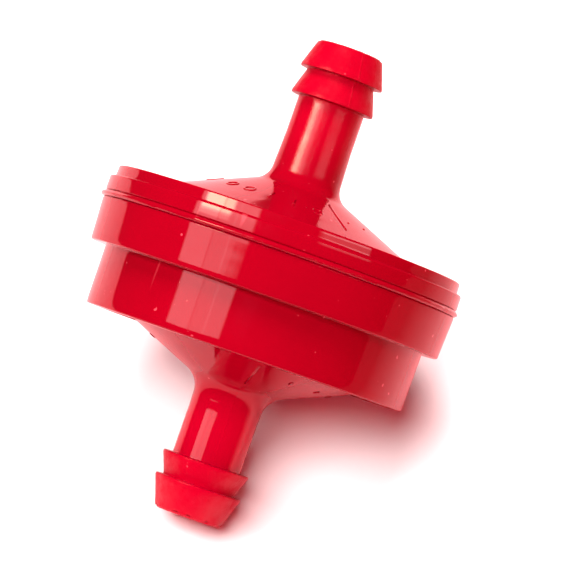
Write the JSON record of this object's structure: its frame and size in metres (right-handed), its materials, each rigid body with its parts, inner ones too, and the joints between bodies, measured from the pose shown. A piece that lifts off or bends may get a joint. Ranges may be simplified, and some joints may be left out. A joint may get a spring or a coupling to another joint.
{
  "type": "inline fuel filter",
  "caption": "Inline fuel filter: round welded plastic housing with a flat screen clamped inside and a barbed hose spout at each end.",
  "frame": {"origin": "on the filter's axis, halfway between the tips of the inlet spout and the outlet spout", "axes": "+Z along the filter's axis towards the inlet spout's tip; -Z towards the outlet; X and Y across the round body"},
  "size_m": [0.036, 0.036, 0.0472],
  "materials": {
    "housing": "glossy red moulded nylon, satin on the barbs",
    "screen_frame": "matte natural nylon",
    "screen_mesh": "fine woven nylon mesh"
  },
  "bodies": {
    "root": {"inlet_shell": "housing", "outlet_shell": "housing", "weld_bead": "housing", "screen_frame": "screen_frame", "screen_mesh": "screen_mesh"}
  },
  "joints": []
}
